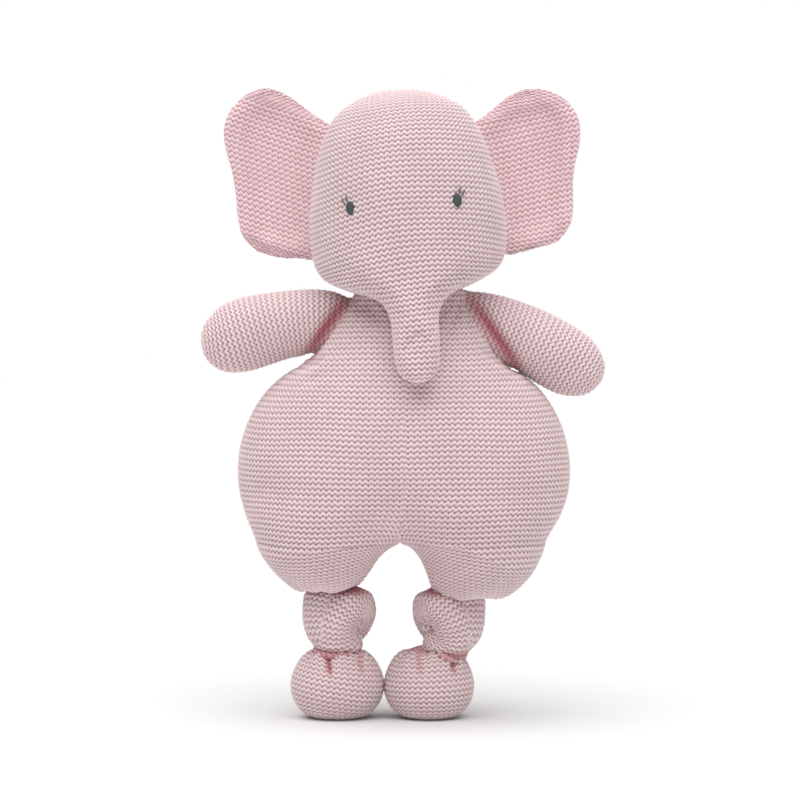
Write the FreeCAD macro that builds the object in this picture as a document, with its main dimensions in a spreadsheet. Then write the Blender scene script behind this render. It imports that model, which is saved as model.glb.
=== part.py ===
"""Knitted stuffed elephant with knotted legs: a parametric FreeCAD document.

Millimetres, +Z up. The origin is on the floor under the middle of the toy. The face looks along -Y and
+X is on a viewer's right, so "left" is the viewer's left. Each knitted cover is a shell with its own
filling inside, and each limb ends in a stuffed ball that turns in a socket of the piece it is sewn to.
"""
import FreeCAD
import Part
import math
import os

import Sketcher
from FreeCAD import Placement, Rotation, Vector

doc = FreeCAD.newDocument("stuffed_elephant")

# ---------------------------------------------------------------- driving dimensions
DIMENSIONS = (
    ("knit_thickness", 2.5, "thickness of the knitted cover"),
    ("filling_gap", 0.2, "room between a cover and its filling"),
    ("hinge_gap", 1.4, "room round each sewn-on ball end"),
    ("gather_gap", 0.6, "room round the gathered ends of the legs"),
    ("thread_radius", 0.5, "sewing thread"),
    ("seam_plane", 5.3, "Y of the limbs and of the body's middle"),
    ("seam_set_back", 1, "the side seams of the body run this far behind the middle"),
    ("body_centre", 0.8, "X of the body's middle"),
    ("neck_lean", 3.7, "how far the neck stands to the right of the body's middle"),
    ("neck_height", 222, "body section at the neck"),
    ("neck_half_width", 25, ""),
    ("neck_half_depth", 18, ""),
    ("shoulder_height", 213, "body section at the shoulders"),
    ("shoulder_half_width", 34, ""),
    ("shoulder_half_depth", 24.5, ""),
    ("chest_height", 199, "body section at the chest"),
    ("chest_half_width", 45.5, ""),
    ("chest_half_depth", 29.5, ""),
    ("waist_height", 182, "body section under the arms"),
    ("waist_half_width", 61, ""),
    ("waist_half_depth", 34, ""),
    ("flank_height", 165, "body section above the girth"),
    ("flank_half_width", 74.4, ""),
    ("flank_half_depth", 41, ""),
    ("belly_height", 148, "body section at the belly"),
    ("belly_half_width", 81.7, ""),
    ("belly_half_depth", 47, ""),
    ("girth_height", 131, "widest body section"),
    ("girth_half_width", 85, ""),
    ("girth_half_depth", 49, ""),
    ("hip_height", 115, "body section at the hips"),
    ("hip_half_width", 79.5, ""),
    ("hip_half_depth", 47, ""),
    ("seat_height", 103, "body section at the seat"),
    ("seat_half_width", 62, ""),
    ("seat_half_depth", 41, ""),
    ("crotch_height", 96, "body section just over the crotch"),
    ("crotch_half_width", 36, ""),
    ("crotch_half_depth", 29, ""),
    ("base_height", 92.5, "underside of the body between the thighs"),
    ("base_half_width", 13, ""),
    ("base_half_depth", 11, ""),
    ("neck_pivot_height", 232, "centre of the stuffed ball at the top of the neck"),
    ("neck_ball_radius", 20, ""),
    ("neck_thread_drop", 8, "neck seam below the ball's centre"),
    ("thigh_half_width", 42.5, "each thigh is an ellipsoid"),
    ("thigh_half_depth", 44, ""),
    ("thigh_half_height", 49, ""),
    ("left_thigh_place", -41.5, "X of the left thigh"),
    ("left_thigh_height", 120, ""),
    ("right_thigh_place", 40.8, "X of the right thigh"),
    ("right_thigh_height", 119, ""),
    ("hip_pivot_height", 67, "where each leg is gathered under its thigh"),
    ("gather_radius", 5, "gathered fabric above a knot"),
    ("left_hip_place", -33.4, ""),
    ("right_hip_place", 27, ""),
    ("knot_half_width", 18.8, "each knot is an ellipsoid"),
    ("knot_half_depth", 17, ""),
    ("knot_half_height", 14, ""),
    ("knot_height", 49.5, ""),
    ("left_knot_place", -33.4, ""),
    ("right_knot_place", 24.3, ""),
    ("ankle_pivot_height", 34, "where each foot is gathered under its knot"),
    ("ankle_radius", 4.4, ""),
    ("left_ankle_place", -33.8, ""),
    ("right_ankle_place", 18.5, ""),
    ("foot_half_width", 23.4, "each foot is an ellipsoid with a flat sole"),
    ("foot_half_depth", 21.5, ""),
    ("foot_half_height", 19.7, ""),
    ("foot_height", 13, ""),
    ("left_foot_place", -34.4, ""),
    ("right_foot_place", 14.2, ""),
    ("arm_root_radius", 12.5, "stuffed ball end of an arm"),
    ("arm_tip_radius", 17.5, "rounded hand"),
    ("arm_thread_drop", 4, "shoulder seam behind the ball's centre"),
    ("left_shoulder_place", -38.9, ""),
    ("left_shoulder_height", 207.8, ""),
    ("left_arm_length", 49.3, "ball centre to hand centre"),
    ("left_arm_droop", 11.6, "degrees below level"),
    ("right_shoulder_place", 44.1, ""),
    ("right_shoulder_height", 206.2, ""),
    ("right_arm_length", 46.6, "ball centre to hand centre"),
    ("right_arm_droop", 25.5, "degrees below level"),
    ("head_roll", 4.1, "degrees that the head leans to the left"),
    ("head_half_width", 51.4, "widest section of the head"),
    ("head_half_depth", 44, ""),
    ("head_middle", -3, "Y of the head's side seam from the neck pivot"),
    ("head_widest", 20, "height of the widest section above the neck pivot"),
    ("crown_rise", 76.8, "crown above the widest section"),
    ("crown_power", 2.2, "superellipse power above the widest section"),
    ("chin_drop", 28, "chin below the widest section"),
    ("chin_power", 2.8, "superellipse power below it"),
    ("trunk_root_radius", 13, "stuffed ball at the trunk's root"),
    ("trunk_tip_radius", 10.5, ""),
    ("trunk_length", 45.3, "root centre to tip centre"),
    ("trunk_forward", 13.5, "degrees that the trunk stands off the belly"),
    ("trunk_root_front", -38, "Y of the trunk's root from the neck pivot"),
    ("trunk_root_height", 0, "height of the trunk's root above the neck pivot"),
    ("eye_spread", 27.2, "eye to the middle of the pair"),
    ("eye_shift", -1.3, "the pair from the middle of the face"),
    ("eye_height", 36.3, "above the neck pivot"),
    ("eye_half_width", 2.5, "satin-stitched oval"),
    ("eye_half_height", 3.7, ""),
    ("eye_half_thickness", 1.2, ""),
    ("lash_length", 5.5, "each lash is one thick stitch"),
    ("lash_radius", 0.45, ""),
    ("ear_half_thickness", 3, "two knitted panels with wadding between them"),
    ("ear_panel_thickness", 1.6, ""),
    ("ear_rim_radius", 2.2, "rounding of the sewn rim"),
    ("ear_inset", 3.4, "how far the wadding stays inside the rim"),
    ("ear_seam_splay", 9.95, "degrees that the ear seam leans in towards the crown"),
    ("ear_seam_place", 55.9, "sideways from the neck pivot, at the foot of the seam"),
    ("ear_seam_foot", 8.2, "height of the seam's foot above the neck pivot"),
    ("ear_plane", 8, "Y of the ears from the neck pivot"),
    ("top_lobe_radius", 21, ""),
    ("low_lobe_radius", 18.5, ""),
    ("left_ear_seam", 76.6, "height of the left ear's seam"),
    ("left_top_reach", 27.5, "centre of the upper lobe from the seam"),
    ("left_top_rise", 70, "the same centre above the seam's foot"),
    ("left_low_reach", 19.5, "centre of the lower lobe from the seam"),
    ("left_low_rise", 20.5, ""),
    ("right_ear_seam", 71, "height of the right ear's seam"),
    ("right_top_reach", 28, ""),
    ("right_top_rise", 60.2, ""),
    ("right_low_reach", 16.7, ""),
    ("right_low_rise", 14.7, ""),
    ("label_width", 14, "folded care label on the seat"),
    ("label_length", 17, ""),
    ("label_thickness", 0.7, ""),
    ("label_top", 109, ""),
    ("label_stand_off", 44.6, "Y of the label behind the seam plane"),
    ("reach", 400, "side of the boxes that halve a shape"),
)

sheet = doc.addObject("Spreadsheet::Sheet", "dims")
for row, (alias, value, note) in enumerate(DIMENSIONS, start=1):
    sheet.set(f"A{row}", note)
    sheet.set(f"B{row}", str(value))
    sheet.setAlias(f"B{row}", alias)
doc.recompute()


def amount(expression):
    """Works out a formula of sheet cells, for a placement or for a sketch's first geometry."""
    return float(sheet.evalExpression(str(expression)))


# ---------------------------------------------------------------- primitives bound to the sheet
def bind(thing, **formulas):
    """Binds properties to formulas; a double underscore in a name stands for a dot."""
    for name, formula in formulas.items():
        thing.setExpression(name.replace("__", "."), str(formula))
    return thing


def at(thing, x=0, y=0, z=0):
    """Binds where an object stands; one at the origin is left free for piece() to place."""
    if (x, y, z) == (0, 0, 0):
        return thing
    return bind(thing, Placement__Base__x=x, Placement__Base__y=y, Placement__Base__z=z)


def sphere(name, radius, x=0, y=0, z=0):
    return at(bind(doc.addObject("Part::Sphere", name), Radius=radius), x, y, z)


def ellipsoid(name, half_width, half_depth, half_height, x=0, y=0, z=0):
    """An ellipsoid; FreeCAD's Radius1 is along Z, Radius2 along X and Radius3 along Y."""
    thing = doc.addObject("Part::Ellipsoid", name)
    bind(thing, Radius1=half_height, Radius2=half_width, Radius3=half_depth)
    return at(thing, x, y, z)


def cylinder(name, radius, height, x=0, y=0, z=0):
    return at(bind(doc.addObject("Part::Cylinder", name), Radius=radius, Height=height), x, y, z)


def cone(name, root_radius, tip_radius, length, placement):
    thing = bind(doc.addObject("Part::Cone", name), Radius1=root_radius, Radius2=tip_radius, Height=length)
    thing.Placement = placement
    return thing


def torus(name, ring_radius, thread_radius, x=0, y=0, z=0):
    thing = doc.addObject("Part::Torus", name)
    return at(bind(thing, Radius1=ring_radius, Radius2=thread_radius), x, y, z)


def box(name, length, width, height, x=0, y=0, z=0):
    thing = doc.addObject("Part::Box", name)
    return at(bind(thing, Length=length, Width=width, Height=height), x, y, z)


def fuse(name, *shapes):
    thing = doc.addObject("Part::MultiFuse", name)
    thing.Shapes = list(shapes)
    return thing


def cut(name, base, *tools):
    """Takes the tools away from the base, one after another."""
    for number, tool in enumerate(tools, start=1):
        thing = doc.addObject("Part::Cut", name if number == len(tools) else f"{name}_less_{number}")
        thing.Base = base
        thing.Tool = tool
        base = thing
    return base


def half(name, shape, front, plane):
    """The part of a shape in front of a Y plane, or behind it."""
    edge = f"{plane} - dims.reach" if front else plane
    side = box(f"{name}_side", "dims.reach", "dims.reach", "dims.reach * 2", "-dims.reach / 2", edge,
               "-dims.reach")
    thing = doc.addObject("Part::Common", name)
    thing.Base = shape
    thing.Tool = side
    return thing


def loft(name, sections):
    """A smooth solid through level ellipses: (x, y, height, half width, half depth) each."""
    rings = []
    for number, (x, y, height, half_width, half_depth) in enumerate(sections):
        ring = doc.addObject("Part::Ellipse", f"{name}_ring_{number}")
        rings.append(at(bind(ring, MajorRadius=half_width, MinorRadius=half_depth), x, y, height))
    thing = doc.addObject("Part::Loft", name)
    thing.Sections = rings
    thing.Solid = True
    thing.Ruled = False
    return thing


def capsule(name, root_radius, tip_radius, length, shrink):
    """A stuffed limb up the Z axis: a ball at the origin, a ball at the far end, a taper between."""
    root, tip = f"({root_radius} - {shrink})", f"({tip_radius} - {shrink})"
    sections = []
    for rise in (-0.985, -0.88, -0.66, -0.34):
        sections.append((f"{rise} * {root}", f"{math.sqrt(1 - rise**2)} * {root}"))
    for share in (0.12, 0.4, 0.7, 0.95):
        sections.append((f"{share} * {length}", f"{root} + {share} * ({tip} - {root})"))
    for rise in (0.34, 0.66, 0.88, 0.985):
        sections.append((f"{length} + {rise} * {tip}", f"{math.sqrt(1 - rise**2)} * {tip}"))
    return loft(name, [(0, 0, height, radius, f"{radius} - 0.001") for height, radius in sections])


# ---------------------------------------------------------------- the list of finished pieces
PIECES = []


def piece(shape, label, placement=None):
    """Names a finished piece and puts it in its place."""
    shape.Label = label
    if placement is not None:
        shape.Placement = placement
    PIECES.append(shape)
    return shape


COVER = "dims.knit_thickness"
FILLING = "(dims.knit_thickness + dims.filling_gap)"
SEAM = "dims.seam_plane"
NECK_X = "(dims.body_centre + dims.neck_lean)"


# degrees that the arms swing forward, in steps close enough to clear all between
ARM_SWINGS = (-20, 0, 18, 36, 55)


# ---------------------------------------------------------------- body
def body_shape(name, shrink):
    """The pear-shaped body, its two thighs and the ball that the head sits on."""
    sections = []
    levels = ("base", "crotch", "seat", "hip", "girth", "belly", "flank", "waist", "chest", "shoulder", "neck")
    for level in levels:
        lean = {"waist": 0.2, "chest": 0.5, "shoulder": 0.85, "neck": 1}.get(level, 0)
        rise = {"base": 1, "crotch": 0.9, "seat": 0.6, "hip": 0.2}.get(level, 0)
        sections.append((
            f"dims.body_centre + {lean} * dims.neck_lean",
            SEAM,
            f"dims.{level}_height + {rise} * {shrink}",
            f"dims.{level}_half_width - {shrink}",
            f"dims.{level}_half_depth - {shrink}",
        ))
    solids = [loft(f"{name}_pear", sections)]
    for side in ("left", "right"):
        solids.append(ellipsoid(
            f"{name}_{side}_thigh", f"dims.thigh_half_width - {shrink}", f"dims.thigh_half_depth - {shrink}",
            f"dims.thigh_half_height - {shrink}", f"dims.{side}_thigh_place", SEAM, f"dims.{side}_thigh_height",
        ))
    solids.append(sphere(f"{name}_neck_ball", f"dims.neck_ball_radius - {shrink}", NECK_X, SEAM,
                         "dims.neck_pivot_height"))
    return fuse(name, *solids)


def arm_frame(side, swing=0):
    """A frame at the shoulder whose Z axis runs down the arm, swung forward by some degrees."""
    sign = -1 if side == "left" else 1
    shoulder = Vector(amount(f"dims.{side}_shoulder_place"), amount(SEAM),
                      amount(f"dims.{side}_shoulder_height"))
    outward = Rotation(Vector(0, 1, 0), sign * (90 + amount(f"dims.{side}_arm_droop")))
    return Placement(shoulder, Rotation(Vector(0, 0, -sign), swing).multiply(outward))


def body_sockets(name, extra):
    """The hollows that the arms and the gathered tops of the legs turn in."""
    sockets = []
    for side in ("left", "right"):
        for number, swing in enumerate(ARM_SWINGS):
            sockets.append(cone(
                f"{name}_{side}_swing_{number}", "dims.arm_root_radius + dims.hinge_gap",
                "dims.arm_tip_radius + dims.hinge_gap", f"dims.{side}_arm_length", arm_frame(side, swing),
            ))
        sockets.append(sphere(
            f"{name}_{side}_shoulder", f"dims.arm_root_radius + dims.hinge_gap + {extra}",
            f"dims.{side}_shoulder_place", SEAM, f"dims.{side}_shoulder_height",
        ))
        sockets.append(sphere(
            f"{name}_{side}_hip", f"dims.gather_radius + dims.gather_gap + {extra}",
            f"dims.{side}_hip_place", SEAM, "dims.hip_pivot_height",
        ))
    return sockets


body_cover = cut("body_cover", body_shape("body_outside", 0), body_shape("body_inside", COVER),
                 *body_sockets("cover_socket", 0))
SIDE_SEAM = "(dims.seam_plane + dims.seam_set_back)"
piece(half("body_front", body_cover, True, SIDE_SEAM), "body_front_panel")
piece(half("body_back", body_cover, False, SIDE_SEAM), "body_back_panel")
piece(cut("body_filling", body_shape("body_fill", FILLING), *body_sockets("filling_socket", COVER)),
      "body_stuffing")
label = box("label", "dims.label_width", "dims.label_thickness", "dims.label_length",
            "dims.body_centre - dims.label_width / 2", "dims.seam_plane + dims.label_stand_off",
            "dims.label_top - dims.label_length")
piece(label, "care_label")

thread_ring = "sqrt((dims.neck_ball_radius + dims.hinge_gap / 2)^2 - dims.neck_thread_drop^2)"
piece(torus("neck_thread", thread_ring, "dims.thread_radius", NECK_X, SEAM,
            "dims.neck_pivot_height - dims.neck_thread_drop"), "neck_seam_thread")

# ---------------------------------------------------------------- head, in a frame at the neck pivot
NECK_PIVOT = Vector(amount(NECK_X), amount(SEAM), amount("dims.neck_pivot_height"))
HEAD_FRAME = Placement(NECK_PIVOT, Rotation(Vector(0, 1, 0), -amount("dims.head_roll")))


def head_shape(name, shrink):
    """A superellipse of revolution in two halves, flattened front to back."""
    sections = []
    halves = (("chin", "chin_drop", "chin_power", -1), ("crown", "crown_rise", "crown_power", 1))
    for part, span, power, sign in halves:
        angles = (86, 72, 54, 34) if part == "chin" else (0, 18, 34, 50, 64, 77, 86)
        for angle in angles:
            rise, run = math.sin(math.radians(angle)), math.cos(math.radians(angle))
            squeeze = f"{run}^(2 / dims.{power})"
            sections.append((
                0,
                "dims.head_middle",
                f"dims.head_widest + {sign} * (dims.{span} - {shrink}) * {rise}^(2 / dims.{power})",
                f"(dims.head_half_width - {shrink}) * {squeeze}",
                f"(dims.head_half_depth - {shrink}) * {squeeze}",
            ))
    return loft(name, sections)


def trunk_frame():
    """A frame in the head at the trunk's root, whose Z axis runs down the trunk."""
    root = Vector(0, amount("dims.trunk_root_front"), amount("dims.trunk_root_height"))
    return Placement(root, Rotation(Vector(1, 0, 0), 180 - amount("dims.trunk_forward")))


def head_sockets(name, extra):
    """The hollows for the ball of the neck and for the root of the trunk."""
    return (
        sphere(f"{name}_neck", f"dims.neck_ball_radius + dims.hinge_gap + {extra}"),
        sphere(f"{name}_trunk", f"dims.trunk_root_radius + dims.hinge_gap + {extra}", 0,
               "dims.trunk_root_front", "dims.trunk_root_height"),
    )


head_cover = cut("head_cover", head_shape("head_outside", 0), head_shape("head_inside", COVER),
                 *head_sockets("face_socket", 0))
piece(half("head_front", head_cover, True, "dims.head_middle"), "head_front_panel", HEAD_FRAME)
piece(half("head_back", head_cover, False, "dims.head_middle"), "head_back_panel", HEAD_FRAME)
piece(cut("head_filling", head_shape("head_fill", FILLING), *head_sockets("head_filling_socket", 0)),
      "head_stuffing", HEAD_FRAME)

# the half width and half depth of the head at the level of the eyes
eye_level = "((dims.eye_height - dims.head_widest) / dims.crown_rise)"
level_width = amount(f"dims.head_half_width * (1 - {eye_level}^dims.crown_power)^(1 / dims.crown_power)")
level_depth = level_width * amount("dims.head_half_depth / dims.head_half_width")
for side, sign in (("left", -1), ("right", 1)):
    eye_x = sign * amount("dims.eye_spread") + amount("dims.eye_shift")
    eye_y = -level_depth * math.sqrt(1 - (eye_x / level_width)**2)
    facing = math.degrees(math.atan2(eye_x / level_width**2, -eye_y / level_depth**2))
    eye_centre = Vector(eye_x, eye_y + amount("dims.head_middle"), amount("dims.eye_height"))
    eye_frame = HEAD_FRAME.multiply(Placement(eye_centre, Rotation(Vector(0, 0, 1), facing)))
    piece(ellipsoid(f"{side}_eye_oval", "dims.eye_half_width", "dims.eye_half_thickness",
                    "dims.eye_half_height"), f"{side}_eye", eye_frame)
    lashes = []
    for number, lean in enumerate((38, 68), start=1):
        lash = cylinder(f"{side}_lash_{number}", "dims.lash_radius", "dims.lash_length",
                        f"{sign} * dims.eye_half_width * 0.5", "-dims.lash_radius",
                        "dims.eye_half_height * 0.75")
        lash.Placement.Rotation = Rotation(Vector(0, 1, 0), sign * lean)
        lashes.append(lash)
    piece(fuse(f"{side}_lashes", *lashes), f"{side}_eye_lashes", eye_frame)

# ---------------------------------------------------------------- trunk
def limb(label, root_radius, tip_radius, length, placement):
    """The knitted cover of a limb and the filling inside it."""
    outside = capsule(f"{label}_outside", root_radius, tip_radius, length, 0)
    inside = capsule(f"{label}_inside", root_radius, tip_radius, length, COVER)
    piece(cut(f"{label}_shell", outside, inside), f"{label}_cover", placement)
    piece(capsule(f"{label}_filling", root_radius, tip_radius, length, FILLING), f"{label}_stuffing",
          placement)


limb("trunk", "dims.trunk_root_radius", "dims.trunk_tip_radius", "dims.trunk_length",
     HEAD_FRAME.multiply(trunk_frame()))

# ---------------------------------------------------------------- arms
arm_ring = "sqrt((dims.arm_root_radius + dims.hinge_gap / 2)^2 - dims.arm_thread_drop^2)"
for side in ("left", "right"):
    limb(f"{side}_arm", "dims.arm_root_radius", "dims.arm_tip_radius", f"dims.{side}_arm_length",
         arm_frame(side))
    piece(torus(f"{side}_arm_ring", arm_ring, "dims.thread_radius"), f"{side}_shoulder_thread",
          arm_frame(side).multiply(Placement(Vector(0, 0, -amount("dims.arm_thread_drop")), Rotation())))

# ---------------------------------------------------------------- legs: a knot, then a foot
def foot_oval(name, side, shrink):
    """The rounded foot before its sole is cut flat."""
    return ellipsoid(name, f"dims.foot_half_width - {shrink}", f"dims.foot_half_depth - {shrink}",
                     f"dims.foot_half_height - {shrink}", f"dims.{side}_foot_place", SEAM, "dims.foot_height")


def below(name, height):
    """Everything under a level."""
    return box(name, "dims.reach", "dims.reach", "dims.reach", "-dims.reach / 2", "-dims.reach / 2",
               f"{height} - dims.reach")


for side in ("left", "right"):
    knot = ellipsoid(f"{side}_knot_oval", "dims.knot_half_width", "dims.knot_half_depth",
                     "dims.knot_half_height", f"dims.{side}_knot_place", SEAM, "dims.knot_height")
    gather = sphere(f"{side}_knot_gather", "dims.gather_radius", f"dims.{side}_hip_place", SEAM,
                    "dims.hip_pivot_height")
    ankle = (f"dims.{side}_ankle_place", SEAM, "dims.ankle_pivot_height")
    ankle_socket = sphere(f"{side}_ankle_socket", "dims.ankle_radius + dims.gather_gap", *ankle)
    piece(cut(f"{side}_knot", fuse(f"{side}_knot_whole", knot, gather), ankle_socket), f"{side}_leg_knot")

    under = below(f"{side}_floor", 0)
    sole = below(f"{side}_sole", COVER)
    filling_sole = below(f"{side}_filling_sole", FILLING)
    ankle_top = sphere(f"{side}_ankle_top", "dims.ankle_radius", *ankle)
    outside = fuse(f"{side}_foot_outside", foot_oval(f"{side}_foot_oval", side, 0), ankle_top)
    inside = cut(f"{side}_foot_inside", foot_oval(f"{side}_foot_inner_oval", side, COVER), sole)
    piece(cut(f"{side}_foot_shell", outside, under, inside), f"{side}_foot_cover")
    piece(cut(f"{side}_foot_filling", foot_oval(f"{side}_foot_filling_oval", side, FILLING), filling_sole),
          f"{side}_foot_stuffing")


# ---------------------------------------------------------------- ears
def belt_points(corners):
    """Where straight lines touch the circles (x, y, radius) that they wrap, taken anticlockwise."""
    points = []
    for (x0, y0, r0), (x1, y1, r1) in zip(corners, corners[1:] + corners[:1]):
        span, heading = math.hypot(x1 - x0, y1 - y0), math.atan2(y1 - y0, x1 - x0)
        normal = heading - math.pi / 2 - math.asin((r1 - r0) / span)
        points.append([Vector(x + r * math.cos(normal), y + r * math.sin(normal), 0)
                       for x, y, r in ((x0, y0, r0), (x1, y1, r1))])
    return points


def belt_sketch(body, name, corners):
    """A closed outline that wraps circles given as formulas; a circle of radius 0 is a sharp corner."""
    sketch = body.newObject("Sketcher::SketchObject", name)
    plane = next(feature for feature in body.Origin.OriginFeatures if feature.Role == "XZ_Plane")
    sketch.AttachmentSupport = [(plane, "")]
    sketch.MapMode = "FlatFace"
    values = [tuple(amount(part) for part in corner) for corner in corners]
    lines = belt_points(values)
    for start, end in lines:
        sketch.addGeometry(Part.LineSegment(start, end), False)

    def fix(kind, *where, formula=None):
        index = sketch.addConstraint(Sketcher.Constraint(kind, *where))
        if formula is not None:
            sketch.setExpression(f"Constraints[{index}]", str(formula))

    def measure(geometry, point, corner, value):
        """Holds a point where its corner says, from the sketch's origin."""
        for kind, distance, formula in (("DistanceX", value[0], corner[0]), ("DistanceY", value[1], corner[1])):
            if abs(distance) < 1e-6:
                axis = -2 if kind == "DistanceX" else -1
                fix("PointOnObject", geometry, point, axis)
            elif distance > 0:
                fix(kind, -1, 1, geometry, point, distance, formula=formula)
            else:
                fix(kind, geometry, point, -1, 1, -distance, formula=f"-({formula})")

    for number, (corner, value) in enumerate(zip(corners, values)):
        before = (number - 1) % len(corners)
        if value[2] == 0:
            fix("Coincident", before, 2, number, 1)
            measure(number, 1, corner, value)
            continue
        centre = Vector(value[0], value[1], 0)
        touches = (lines[before][1], lines[number][0])
        start, end = (math.atan2(*reversed((point - centre)[:2])) for point in touches)
        circle = Part.Circle(centre, Vector(0, 0, 1), value[2])
        arc = sketch.addGeometry(Part.ArcOfCircle(circle, start, end), False)
        fix("Tangent", before, 2, arc, 1)
        fix("Tangent", arc, 2, number, 1)
        measure(arc, 3, corner, value)
        fix("Radius", arc, value[2], formula=corner[2])
    return sketch


def ear_outline(side, inset):
    """An ear seen from the front, from the foot of its seam anticlockwise: low lobe, upper lobe, top."""
    return [
        (inset, inset, 0),
        (f"dims.{side}_low_reach", f"dims.{side}_low_rise", f"dims.low_lobe_radius - {inset}"),
        (f"dims.{side}_top_reach", f"dims.{side}_top_rise", f"dims.top_lobe_radius - {inset}"),
        (inset, f"dims.{side}_ear_seam - {inset}", 0),
    ]


def ear_panel(side, face, forward):
    """One knitted panel of an ear: a rounded plate, hollowed for the wadding."""
    body = doc.addObject("PartDesign::Body", f"{side}_ear_{face}")
    pad = body.newObject("PartDesign::Pad", f"{side}_ear_{face}_pad")
    pad.Profile = belt_sketch(body, f"{side}_ear_{face}_outline", ear_outline(side, 0))
    pad.setExpression("Length", "dims.ear_half_thickness")
    pad.Reversed = not forward
    doc.recompute()
    outer = (-1 if forward else 1) * amount("dims.ear_half_thickness")
    rim = [f"Edge{number}" for number, edge in enumerate(pad.Shape.Edges, start=1)
           if abs(edge.BoundBox.YMin - outer) < 1e-6 and abs(edge.BoundBox.YMax - outer) < 1e-6]
    fillet = body.newObject("PartDesign::Fillet", f"{side}_ear_{face}_rim")
    fillet.Base = (pad, rim)
    fillet.setExpression("Radius", "dims.ear_rim_radius")
    hollow = body.newObject("PartDesign::Pocket", f"{side}_ear_{face}_hollow")
    hollow.Profile = belt_sketch(body, f"{side}_ear_{face}_hollow_outline", ear_outline(side, "dims.ear_inset"))
    hollow.setExpression("Length", "dims.ear_half_thickness - dims.ear_panel_thickness")
    hollow.Reversed = forward
    return body


for side, sign in (("left", -1), ("right", 1)):
    seam_foot = Vector(sign * amount("dims.ear_seam_place"), amount("dims.ear_plane"),
                       amount("dims.ear_seam_foot"))
    # the left ear is the right one's pattern turned half round, so its front panel is built behind
    turn = Rotation(Vector(0, 1, 0), -sign * amount("dims.ear_seam_splay"))
    half_turn = Rotation(Vector(0, 0, 1), 0 if sign > 0 else 180)
    ear_frame = HEAD_FRAME.multiply(Placement(seam_foot, turn.multiply(half_turn)))
    piece(ear_panel(side, "front", sign > 0), f"{side}_ear_front", ear_frame)
    piece(ear_panel(side, "back", sign < 0), f"{side}_ear_back", ear_frame)
    wadding = doc.addObject("PartDesign::Body", f"{side}_wadding")
    wad = wadding.newObject("PartDesign::Pad", f"{side}_wadding_pad")
    wad_inset = "(dims.ear_inset + dims.filling_gap)"
    wad.Profile = belt_sketch(wadding, f"{side}_wadding_outline", ear_outline(side, wad_inset))
    wad.Midplane = True
    wad.setExpression("Length", "2 * (dims.ear_half_thickness - dims.ear_panel_thickness - dims.filling_gap)")
    piece(wadding, f"{side}_ear_wadding", ear_frame)
    thread_place = Placement(Vector(-1.1 * amount("dims.thread_radius"), 0, 0), Rotation())
    piece(cylinder(f"{side}_ear_thread", "dims.thread_radius", f"dims.{side}_ear_seam"),
          f"{side}_ear_seam_thread", ear_frame.multiply(thread_place))

# ---------------------------------------------------------------- check and write
doc.recompute()
for thing in doc.Objects:
    if {"Invalid", "Error"} & set(thing.State):
        raise RuntimeError(f"{thing.Name} failed: {thing.State}")

os.makedirs("parts", exist_ok=True)
for thing in PIECES:
    shape = thing.Shape
    if shape.isNull() or not shape.isValid() or len(shape.Solids) != 1:
        raise RuntimeError(f"{thing.Label} is not one sound solid: {len(shape.Solids)} solids")
    shape.exportStep(f"parts/{thing.Label}.step")
print(f"{len(PIECES)} pieces written")
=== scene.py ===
"""A knitted stuffed elephant with knotted legs. Shapes are worked out in millimetres and made in metres."""
import math

import bpy
import numpy as np
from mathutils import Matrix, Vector


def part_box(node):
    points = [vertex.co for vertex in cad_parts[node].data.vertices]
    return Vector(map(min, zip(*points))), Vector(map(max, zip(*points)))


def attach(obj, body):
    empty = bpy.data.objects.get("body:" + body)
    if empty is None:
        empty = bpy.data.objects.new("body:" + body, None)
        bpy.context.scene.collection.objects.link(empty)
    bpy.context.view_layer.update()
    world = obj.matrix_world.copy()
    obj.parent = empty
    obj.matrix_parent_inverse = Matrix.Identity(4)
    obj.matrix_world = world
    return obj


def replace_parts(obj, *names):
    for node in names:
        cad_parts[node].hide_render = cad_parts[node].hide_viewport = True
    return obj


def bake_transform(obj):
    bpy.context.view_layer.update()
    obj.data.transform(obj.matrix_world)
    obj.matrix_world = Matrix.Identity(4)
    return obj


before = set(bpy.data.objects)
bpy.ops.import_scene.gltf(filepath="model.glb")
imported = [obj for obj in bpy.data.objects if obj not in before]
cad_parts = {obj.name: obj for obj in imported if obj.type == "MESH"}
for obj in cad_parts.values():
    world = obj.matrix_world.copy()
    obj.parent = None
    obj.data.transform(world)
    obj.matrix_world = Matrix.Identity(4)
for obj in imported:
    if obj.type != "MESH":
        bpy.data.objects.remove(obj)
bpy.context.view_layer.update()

# ---------------------------------------------------------------- knitted cloth
# Every cover is machine-knitted cotton with the purl side out: level ridges of yarn, each waving up and
# down once a stitch, with small holes between them that the material paints dark as shade. Panels are
# sewn together inside out, so a seam is a line where the ridges stop short and dip.
MM = 0.001
STITCH = 3.1  # width of one stitch
COURSE = 2.75  # height of one row
WAVE = 0.2  # how far a ridge waves, in rows
RIDGE = 0.95  # height of a ridge over the hollow between two
TUCK = 2.4  # depth of a deep crease
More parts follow.
